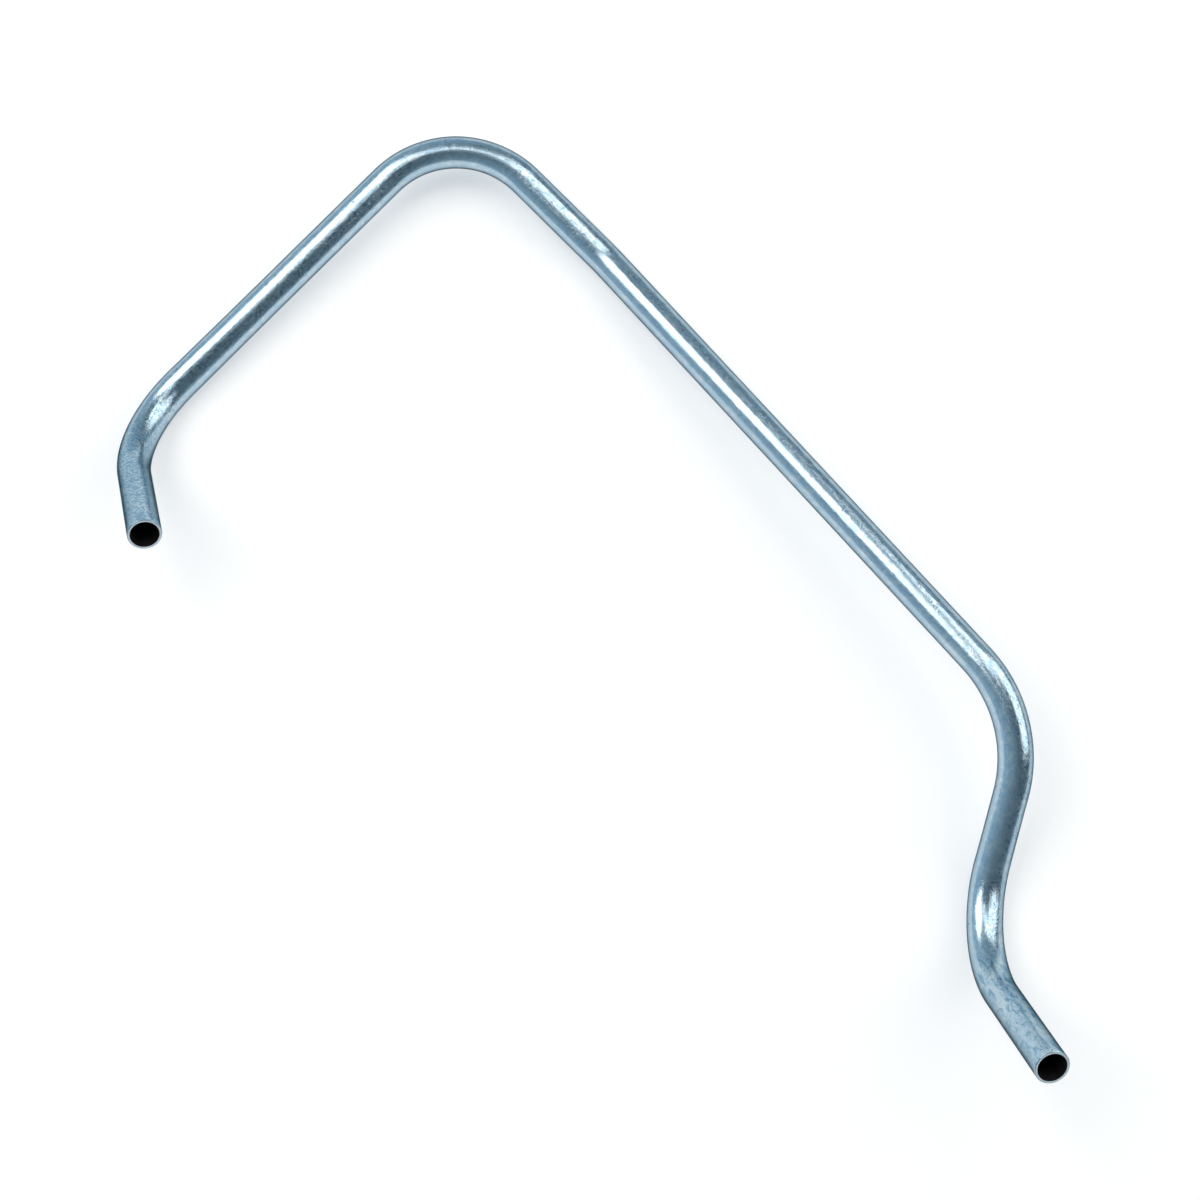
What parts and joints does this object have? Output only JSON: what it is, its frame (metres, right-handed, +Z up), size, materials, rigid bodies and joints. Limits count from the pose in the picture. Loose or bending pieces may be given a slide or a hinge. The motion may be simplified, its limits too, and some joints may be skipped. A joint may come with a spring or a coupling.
{
  "type": "bent steel tube",
  "caption": "Zinc-plated round steel tube bent into a long hooked run, with a plain cut and deburred open end at each side for a hose or a compression fitting.",
  "frame": {"origin": "middle of the underside of the tube's box, on the surface that it lies on", "axes": "+Z up from the surface that it lies on; +X along the long leg, from the apex towards the outlet"},
  "size_m": [0.532, 0.2728, 0.0831],
  "materials": {
    "zinc_plate": "bright zinc plate with a pale blue passivate, satin, lightly stained"
  },
  "bodies": {
    "root": {"bent_tube": "zinc_plate"}
  },
  "joints": []
}
